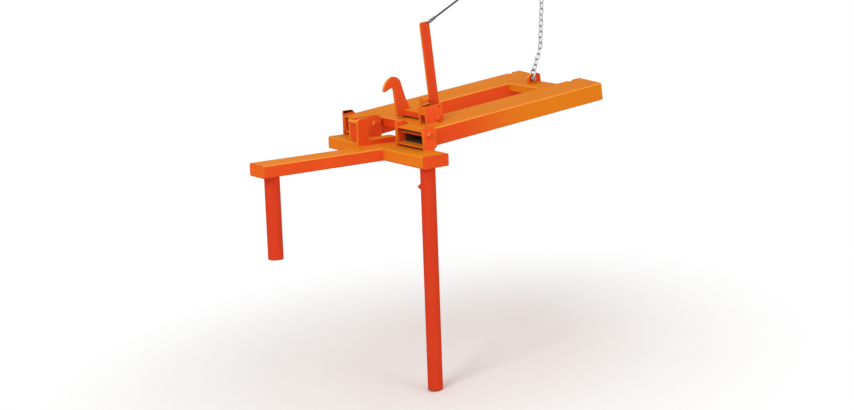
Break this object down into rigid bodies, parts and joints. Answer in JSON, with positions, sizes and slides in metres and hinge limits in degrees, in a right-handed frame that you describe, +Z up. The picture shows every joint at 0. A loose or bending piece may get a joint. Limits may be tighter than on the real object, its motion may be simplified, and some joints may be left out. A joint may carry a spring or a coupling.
{
  "type": "drum rotator",
  "caption": "Forklift drum rotator: twin fork pockets carry a hinged L-shaped frame with a short and a long drum post, a rope-released hook latch and a safety chain.",
  "frame": {"origin": "centre of the right fork pocket's rear mouth", "axes": "+X right along the hinge axis, +Y to the rear along the fork pockets where the forks leave, +Z up, square to the pockets"},
  "size_m": [0.7013, 1.5512, 1.5306],
  "materials": {
    "orange_paint": "gloss orange paint on welded steel",
    "zinc_steel": "zinc-plated steel",
    "dark_rope": "dark braided cord"
  },
  "bodies": {
    "carrier": {"fork_pocket_right": "orange_paint", "fork_pocket_left": "orange_paint", "front_cross_member": "orange_paint", "rear_cross_member": "orange_paint", "chain_lug": "orange_paint", "hinge_bolts": "orange_paint", "stop_pads": "orange_paint", "bracket_plate_right": "orange_paint", "bracket_plate_left": "orange_paint", "latch_support": "orange_paint", "latch_bolt": "orange_paint", "latch_nut": "orange_paint", "spring_anchor": "orange_paint", "latch_spring": "orange_paint"},
    "drum_frame": {"cross_beam": "orange_paint", "beam_caps": "orange_paint", "drum_arm": "orange_paint", "arm_cap": "orange_paint", "short_post": "orange_paint", "long_post": "orange_paint", "post_plugs": "orange_paint", "post_nose": "orange_paint", "hinge_ears": "orange_paint", "striker_plate": "orange_paint", "striker_foot": "orange_paint", "striker_pin": "orange_paint"},
    "latch": {"latch_tube": "orange_paint", "hook_plate": "orange_paint", "latch_channel": "orange_paint", "lever": "orange_paint", "rope_link": "zinc_steel", "rope_ferrules": "zinc_steel", "pull_rope": "dark_rope", "hand_loop": "dark_rope"},
    "chain": {"chain_shackle": "zinc_steel", "shackle_pin": "zinc_steel", "chain_links": "zinc_steel", "chain_ring": "zinc_steel"}
  },
  "joints": [
    {"name": "frame_tilt", "type": "hinge", "parent": "carrier", "child": "drum_frame", "pos_m": [0, -0.877, 0.016], "axis": [-1, 0, 0], "range_deg": [0, 84]},
    {"name": "latch_turn", "type": "hinge", "parent": "carrier", "child": "latch", "pos_m": [0, -0.773, 0.05], "axis": [1, 0, 0], "range_deg": [-15, 8], "stiffness_Nm_per_rad": 20, "springref_deg": 8.02, "deforming": ["latch_spring"]},
    {"name": "chain_swing", "type": "hinge", "parent": "carrier", "child": "chain", "pos_m": [-0.203, -0.14, 0.056], "axis": [1, 0, 0], "range_deg": [-12, 80]}
  ]
}
